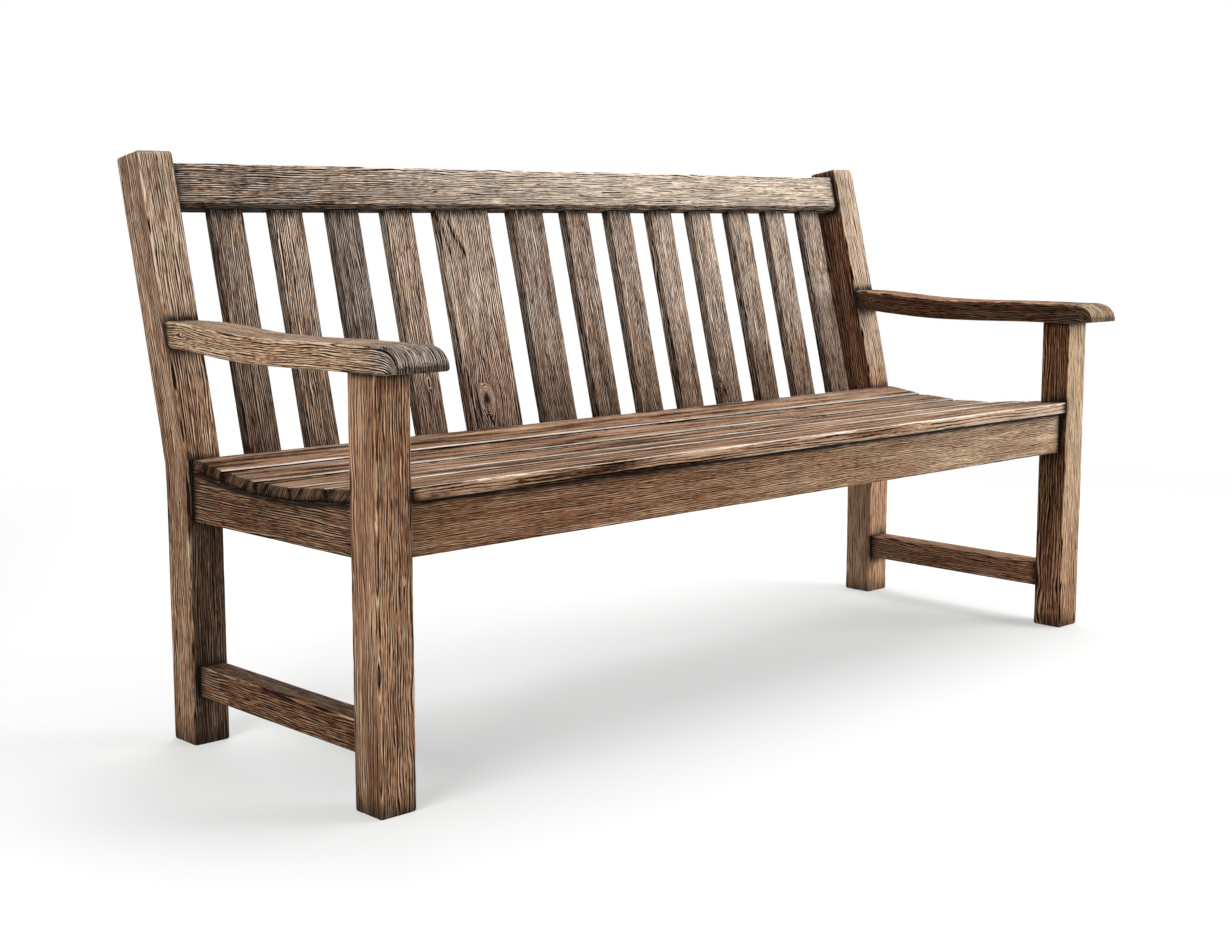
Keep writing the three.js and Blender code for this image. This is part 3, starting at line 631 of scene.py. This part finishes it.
def weather(
        node, material, axes,
        spacing=(10, 1.5, 1.5),         # between the cuts along, across and through the timber
        bend=None,                      # what gives the line of a timber that isn't straight
        pith=(70, 50),                  # heart of the tree, across and through from the middle
        pitch=GROWTH_PITCH,             # between growth lines
        wander=1.0,                     # how widely the growth lines sway
        nose=None,                      # a rounded nose, from its end to where it is straight
        knots=(),                       # each (along, to the side, radius, axis of that side)
        splits=(),                      # each (along, across, along and across at its end, width)
        relief=0.45,                    # depth of the washed-out lines
        round_over=1.0,                 # how far the arrises are rubbed down
        proud=0.8,                      # how far the ridges stand before the face of the solid
        worn_back=0.0,                  # how far a seat board is worn down at its back edge
        ragged=0.0,                     # how uneven the sawn ends are
        washed=(),                      # sides that rain and sitting keep clean
        edge_shade=0.0,                  # painted shade along the arrises of upright faces
        value=1.0,                      # darker under 1, paler over 1; it also carries painted light and shade
        stains_and_shading=(),                      # changes of the value along the timber, of the wood and of painted light and shade
        silver=0.0,                     # greyer over 0, redder under 0
        greyed=(),                      # stains that change the silver
        figure=1.0,                     # how strong the grain is
        figured=(),                     # stains that change the figure
        seed=0):
    """Replaces a timber by a worn copy of its solid."""
    mesh, offset = cut_finely(node, axes, spacing, bend)
    at = Surface(mesh, axes, seed)
    rings = growth_rings(at, pith, knots, nose, wander)
    check, rim = find_flaws(at, knots, splits)
    # The sawn ends of a seat board stay sharp, and its long arrises are worn wider.
    arris = find_arrises(at, mesh, sharp_ends=worn_back > 0, times=3 if worn_back else 2)

    # A seat board is worn down towards its back edge, so the next front arris stands proud.
    upward = np.clip(at.facing[:, 2], 0, 1)
    depth = find_depth(at, rings, pitch, arris, relief, round_over) - proud
    depth = depth + worn_back * smooth_step(at.behind, *BACK_EDGE) * upward
    depth = depth + FLAW_DEPTH * check - RIM_HEIGHT * rim
    worn = at.place - at.normal * depth[:, None] * MM
    worn[:, 0] += ragged * MM * np.sign(at.local[:, 0]) * patches(at.wood, RAGGED_ENDS)
    if bend:
        bent = offset(at.place[:, 0])
        at.place[:, 2] += bent
        worn[:, 2] += bent
    mesh.vertices.foreach_set("co", (worn @ at.turn).ravel())
    mesh.update()
    mesh.shade_smooth()

    # Where it is washed, rubbed and dirty, with a painted highlight on rubbed arrises, and painted
    # shade where timbers meet, along upright arrises and in the step behind a seat board.
    clean = np.zeros(len(worn))
    for side in washed:
        clean = np.maximum(clean, smooth_step(at.facing @ np.array(side), 0.2, 0.6))
    # The step behind a seat board takes painted shade, and no pale rubbed arris.
    step = smooth_step(at.behind, *STEP) * upward * (worn_back > 0)
    wear_and_highlight = find_wear_and_highlight(at, arris, clean) * (1 - step)
    points = at.place @ at.turn
    near = nearness(node, points, DARKENING_REACH * MM)
    grime_and_shade = find_dirt_and_shade(at, near, points[:, 2] / MM, wear_and_highlight, clean)
    upright = abs(at.facing[:, 2]) < 0.6
    # Painted shade along the arrises of upright faces.
    edges = edge_shade * np.clip(1.5 * arris, 0, 1) * upright
    grime_and_shade = np.maximum(np.maximum(grime_and_shade, STEP_SHADE * step), edges)

    # Sawn ends are dark, rubbed places with their painted highlight are about as pale as plain wood
    # or paler, and the rims of the knots are as pale as rubbed places.
    sawn = smooth_step(abs(at.normal[:, 0]), 0.6, 0.9)
    values = vary_along(value * (1 - SAWN_DARKER * sawn), stains_and_shading, at.share, at.facing)
    values += np.clip(RUBBED_VALUE - values, 0, 1) * wear_and_highlight * (0.4 + 0.6 * clean)
    silvers = silver + vary_along(np.ones(len(worn)), greyed, at.share, at.facing) - 1
    figures = vary_along(np.full(len(worn), figure), figured, at.share, at.facing)
    store(mesh, "grain", at.wood * MM)
    store(mesh, "ring", rings / pitch)
    store(mesh, "wear_and_highlight", wear_and_highlight + 1.5 * rim)
    store(mesh, "grime_and_shade", np.clip(grime_and_shade, 0, 0.95))
    store(mesh, "check", np.clip(check, 0, 1))
    store(mesh, "tone", np.column_stack((silvers, values, figures)))
    mesh.materials.append(material)

    piece = bpy.data.objects.new(mesh.name, mesh)
    bpy.context.scene.collection.objects.link(piece)
    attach(piece, "root")
    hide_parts(node)


# ---- The timbers ----------------------------------------------------------------------------

ALL_ALONG = (-1, 0)                     # from and to of a change that covers a whole timber

# The front left leg: a painted shadow at the top of its front under the armrest. Its left face is
# darker towards the foot and paler at the top, and its front is paler.
weather("front_leg_left", FRAME_OAK, UPRIGHT, pith=(62, 48), pitch=3.0, wander=0.8,
        knots=((12, 14, 2.5, 1),),
        stains_and_shading=((LEFT, *ALL_ALONG, 0.88), (LEFT, 0.6, 0.0, 0.68), (LEFT, 0.5, 1.0, 1.15),
                (FRONT, *ALL_ALONG, 1.22), (FRONT, 0.93, 0.99, 0.4)),
        silver=-0.25, greyed=((LEFT, *ALL_ALONG, 1.35),), figured=((LEFT, *ALL_ALONG, 0.5),),
        seed=1)
# The front right leg: painted shade on its inner face, which is paler towards the foot, and a much
# paler front.
weather("front_leg_right", FRAME_OAK, UPRIGHT, pith=(62, 48), pitch=3.8,
        round_over=0.5,
        stains_and_shading=((LEFT, *ALL_ALONG, 0.55), (LEFT, 0.45, 0.1, 1.85), (FRONT, -0.2, 0.6, 1.95)),
        greyed=((LEFT, *ALL_ALONG, 0.4), (FRONT, 0.6, 0.1, 0.55)), seed=2)
# The rear left post: painted shade on its front below the seat, and a paler upper front.
weather("rear_post_left", FRAME_OAK, UPRIGHT, bend=post_bend, pith=(66, 55),
        pitch=3.1, wander=0.8, knots=((-81, -8, 4, 2),), round_over=1.8,
        stains_and_shading=((FRONT, 0.46, 0.38, 0.36), (FRONT, 0.5, 0.9, 1.55), (None, 0.4, 0.0, 0.95)),
        silver=0.1, greyed=((None, 0.5, 0.9, 1.15),),
        figured=((LEFT, *ALL_ALONG, 0.75), (FRONT, 0.5, 0.9, 1.25)), seed=3)
# The rear right post: painted shade on its inner face above the seat, and painted light on its
# front and on its inner face below the seat.
weather("rear_post_right", FRAME_OAK, UPRIGHT, bend=post_bend, pith=(66, 55),
        pitch=3.8, wander=0.8, round_over=0.3,
        stains_and_shading=((LEFT, 0.3, 0.5, 0.55), (LEFT, 0.45, 0.35, 2.5), (FRONT, 0.4, 0.6, 1.8),
                (FRONT, 0.45, 0.35, 2.1)),
        greyed=((LEFT, *ALL_ALONG, 0.35), (FRONT, *ALL_ALONG, 0.35), (FRONT, 0.4, 0.6, 3.7)),
        seed=4)

for i, side in enumerate(("left", "right")):
    right = i == 1
    # The right armrest is darkened as painted shade, most on its inner side. The nose of the right
    # one is paler and of the left one darker.
    shaded = ((None, *ALL_ALONG, 0.8), (LEFT, *ALL_ALONG, 0.25)) if right else ()
    nose_value = (None, 0.12, 0.02, 1.5 if right else 0.75)
    weather("armrest_" + side, FRAME_OAK, FRONT_TO_BACK, bend=armrest_bend,
            pith=(70, 60), pitch=3.0, wander=0.7, nose=(-272, -235), knots=((232, 4, 4, 2),),
            value=1.42, stains_and_shading=(*shaded, nose_value), silver=-0.7 * i,
            greyed=((None, 0.14, 0.04, 1.5), (UP, *ALL_ALONG, 1.15)), figure=1.15,
            figured=((None, 0.14, 0.04, 2.2),), seed=5 + i)
    # The right stretcher is made much paler as painted light, with its inner face darker in part;
    # the left one is darker.
    weather("stretcher_" + side, FRAME_OAK, FRONT_TO_BACK, pith=(60, 50),
            pitch=3.1, wander=0.5, value=1.5 if right else 0.55,
            stains_and_shading=((LEFT, 0.9, 0.2, 0.75),) if right else (), silver=-0.3 * (i + 1), seed=7 + i)
    # The side seat rails are darkened as painted shade under the seat.
    weather("side_seat_rail_" + side, FRAME_OAK, SIDE_RAIL, pith=(85, 60),
            pitch=3.0, wander=0.5, value=0.52, silver=-0.2, seed=9 + i)

weather("front_seat_rail", FRAME_OAK, LONG_RAIL, pith=(120, -60), pitch=2.6,
        wander=0.2, stains_and_shading=((None, 0.2, 0.9, 1.5),), silver=-0.25,
        greyed=((None, 0.2, 0.9, 1.35),), figure=0.7, seed=11)
weather("rear_seat_rail", FRAME_OAK, LONG_RAIL, spacing=(15, 2.5, 2.5),
        pith=(90, 60), wander=0.5, seed=12)
weather("centre_seat_bearer", FRAME_OAK, SIDE_RAIL, spacing=(15, 3, 3),
        pith=(90, 60), seed=13)
# The top back rail: painted shade at its left end by the post and on its eased lower front edge. It
# is much paler towards the right.
weather("top_back_rail", BACK_OAK, LEANING_RAIL, pith=(95, 50), pitch=3.0,
        wander=0.5, value=1.08,
        stains_and_shading=((None, 0.10, 0.0, 0.8), (None, 0.08, 0.6, 2.4), (UNDER_FRONT, *ALL_ALONG, 0.22)),
        figure=1.3, seed=14)

# The slats from left to right. Every other one is turned round, so its pith lies on the other side.
# The fourth has a knot, the tenth a knot and a split, and the wide fifth one a knot and many.
SLAT_VALUES = (0.74, 1.05, 0.62, 1.18, 1.3, 1.02, 0.94, 1.1, 1.4, 1.4, 1.2, 1.35, 1.1)
SLAT_SILVERS = (0.0, 0.0, 0.3, 0.0, 0.0) + 8 * (0.12,)
SLAT_KNOTS = {3: ((-101, 4, 5, 1),), 4: ((-136, -15, 13, 1),), 9: ((-140, -26, 8, 1),)}
SLAT_SPLITS = {
    4: ((-144, -22, -182, -8, 2.2), (-55, -14, -85, -2, 2.0), (196, -46, 120, -12, 2.0),
        (130, -12, 60, -14, 1.6), (188, -54, 96, -38, 1.5), (168, -26, 104, -4, 1.3),
        (-75, -50, -190, -44, 2.4), (-110, -36, -190, -32, 1.8)),
    9: ((-140, -22, -175, -12, 2.2),)}
SLATS = [node for node in sorted(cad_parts) if node.startswith("back_slat_")]
# Each slat has painted shade at its foot by the seat and along its upright arrises, and a darker
# left face.
for i, (node, value, silver) in enumerate(zip(SLATS, SLAT_VALUES, SLAT_SILVERS)):
    weather(node, BACK_OAK, LEANING, pith=(90 * (-1) ** i, 45), pitch=3.2,
            wander=0.8, knots=SLAT_KNOTS.get(i, ()), splits=SLAT_SPLITS.get(i, ()),
            edge_shade=0.75, value=value,
            stains_and_shading=((None, 0.6, 0.05, 0.46), (LEFT, *ALL_ALONG, 0.55)),
            silver=silver, greyed=((None, 0.6, 0.05, 0.6),), seed=20 + i)

# The seat boards from front to back. The front one has the palest front face.
BOARDS = [node for node in sorted(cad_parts) if node.startswith("seat_slat_")]
for i, node in enumerate(BOARDS):
    weather(node, SEAT_OAK, LENGTHWAYS, spacing=(14, 1.8, 1.8), pith=(120, 50),
            pitch=3.0, wander=0.15, relief=0.15, round_over=1.6, proud=-0.25, worn_back=3.2,
            ragged=4.0, washed=(UP,), value=1.02,
            stains_and_shading=((None, 0.25, 1.0, 1.4), (FRONT, *ALL_ALONG, 0.94 if i else 1.18),
                    (LEFT, *ALL_ALONG, 0.8)),
            figured=((LEFT, *ALL_ALONG, 1.8), (UP, 0.2, 1.0, 1.25)), seed=40 + i)

# ---- Pegs and screws ------------------------------------------------------------------------

SPECKS_PER_METRE = 900.0                # specks of 1.1 mm, coarser than real pores, to show at all


def speckled(name, colour, roughness, metallic=0):
    """A finish of one colour with fine paler and darker specks, for a small fixing."""
    material, tree, surface = new_material(name)
    place = add(tree, "TexCoord").outputs["Object"]
    specks = add(tree, "TexNoise", {"Vector": place, "Scale": SPECKS_PER_METRE, "Detail": 2.0})
    shade = add(tree, "MapRange", {"Value": specks, "To Min": 0.75, "To Max": 1.15})
    shaded = add(tree, "HueSaturation", {"Value": shade, "Color": linear(colour)})
    tree.links.new(shaded.outputs[0], surface.inputs["Base Color"])
    surface.inputs["Roughness"].default_value = roughness
    surface.inputs["Metallic"].default_value = metallic
    return material


# Oak cut across the grain: dull and darker than the timber's face, with open pores as specks.
PEG_OAK = speckled("oak peg, end grain", "#5a4231", 0.85)

# Bare turned stainless steel after years outdoors: a grey metal shine, dulled by fine spots.
SCREW_STEEL = speckled("stainless steel screw", "#a3a29c", 0.35, metallic=1)

for node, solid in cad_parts.items():
    if "_peg_" in node or "_screw_" in node:
        solid.data.materials.clear()
        solid.data.materials.append(PEG_OAK if "_peg_" in node else SCREW_STEEL)

# ---- Camera, floor, world and lamps ---------------------------------------------------------

FOCAL_LENGTH = 52.33                    # mm
SENSOR_WIDTH = 36                       # mm
CAMERA_PLACE = (-2.2261, -2.1836, 0.8029)
CAMERA_TURN = 43.8                      # degrees to the right of the depth of the bench
CAMERA_TILT = 7.87                      # degrees down
FLOOR_REACH = 20                        # from its middle to its edges
FLOOR_GREY = "#8c8c8a"                  # the floor as its light falls on the bench
FLOOR_WHITE = "#c6c7c6"                 # the floor as the eye sees it
FLOOR_GLOW = 0.38                       # what brings the seen floor up to nearly white
FLOOR_FADE = (1.7, 3.2)                 # where the floor turns into the white of the background
SKY_LIGHT = 0.25                        # strength of the white world that lights the bench


def add_camera():
    data = bpy.data.cameras.new("camera")
    data.lens = FOCAL_LENGTH
    data.sensor_width = SENSOR_WIDTH
    camera = bpy.data.objects.new("camera", data)
    camera.location = CAMERA_PLACE
    camera.rotation_euler = (math.radians(90 - CAMERA_TILT), 0, -math.radians(CAMERA_TURN))
    bpy.context.scene.collection.objects.link(camera)
    bpy.context.scene.camera = camera


def seen_share(tree):
    """1 for the rays that show the backdrop itself, straight or mirrored, and 0 for its light."""
    path = add(tree, "LightPath").outputs
    seen = path["Is Camera Ray"]
    for kind in ("Is Glossy Ray", "Is Transmission Ray"):
        seen = add(tree, "Math", {0: seen, 1: path[kind]}, operation="MAXIMUM")
    return seen


def add_floor():
    bm = bmesh.new()
    bmesh.ops.create_grid(bm, x_segments=1, y_segments=1, size=FLOOR_REACH)
    mesh = bpy.data.meshes.new("floor")
    bm.to_mesh(mesh)
    bm.free()
    floor = bpy.data.objects.new("floor", mesh)
    bpy.context.scene.collection.objects.link(floor)

    # White matt paint: it shows soft shadows and no reflections.
    material, tree, surface = new_material("white studio floor")
    surface.inputs["Roughness"].default_value = 1
    surface.inputs["Specular IOR Level"].default_value = 0
    surface.inputs["Emission Color"].default_value = (1, 1, 1, 1)
    seen = seen_share(tree)
    paint = add(tree, "MixRGB", {0: seen, 1: linear(FLOOR_GREY), 2: linear(FLOOR_WHITE)})
    glow = add(tree, "Math", {0: seen, 1: FLOOR_GLOW}, operation="MULTIPLY")
    tree.links.new(paint.outputs[0], surface.inputs["Base Color"])
    tree.links.new(glow.outputs[0], surface.inputs["Emission Strength"])

    # Away from the bench the floor turns into the white of the background.
    place = add(tree, "TexCoord").outputs["Object"]
    reach = add(tree, "VectorMath", {0: place}, operation="LENGTH").outputs["Value"]
    far = add(tree, "MapRange", {
        "Value": reach, "From Min": FLOOR_FADE[0], "From Max": FLOOR_FADE[1]},
        interpolation_type="SMOOTHSTEP")
    share = add(tree, "Math", {0: far, 1: seen}, operation="MULTIPLY")
    white = add(tree, "Emission", {"Strength": 1.0})
    mixed = add(tree, "MixShader", {0: share, 1: surface, 2: white})
    tree.links.new(mixed.outputs[0], tree.nodes["Material Output"].inputs["Surface"])
    mesh.materials.append(material)


def add_world():
    world = bpy.data.worlds.new("studio")
    world.use_nodes = True
    bpy.context.scene.world = world
    tree = world.node_tree
    strength = add(tree, "MapRange", {
        "Value": seen_share(tree), "To Min": SKY_LIGHT, "To Max": 1.0})
    background = tree.nodes["Background"]
    background.inputs["Color"].default_value = (1, 1, 1, 1)
    tree.links.new(strength.outputs[0], background.inputs["Strength"])


def add_soft_box(name, place, aim, size, watts):
    data = bpy.data.lights.new(name, "AREA")
    data.shape = "RECTANGLE"
    data.size, data.size_y = size
    data.energy = watts
    lamp = bpy.data.objects.new(name, data)
    lamp.location = place
    lamp.rotation_euler = (Vector(aim) - Vector(place)).to_track_quat("-Z", "Y").to_euler()
    bpy.context.scene.collection.objects.link(lamp)


add_camera()
add_floor()
add_world()
add_soft_box("overhead", (0.9, 0.4, 2.8), aim=(0, 0, 0.3), size=(3.6, 2.8), watts=92)
add_soft_box("front right", (2.7, -2.6, 1.0), aim=(0.5, 0, 0.5), size=(1.8, 1.5), watts=106)
add_soft_box("left", (-3.3, -0.9, 1.1), aim=(-0.4, 0, 0.5), size=(1.6, 1.4), watts=75)
add_soft_box("behind", (1.6, 3.4, 1.3), aim=(0, 0, 0.5), size=(2.0, 1.6), watts=30)

bpy.context.scene.view_settings.view_transform = "Standard"
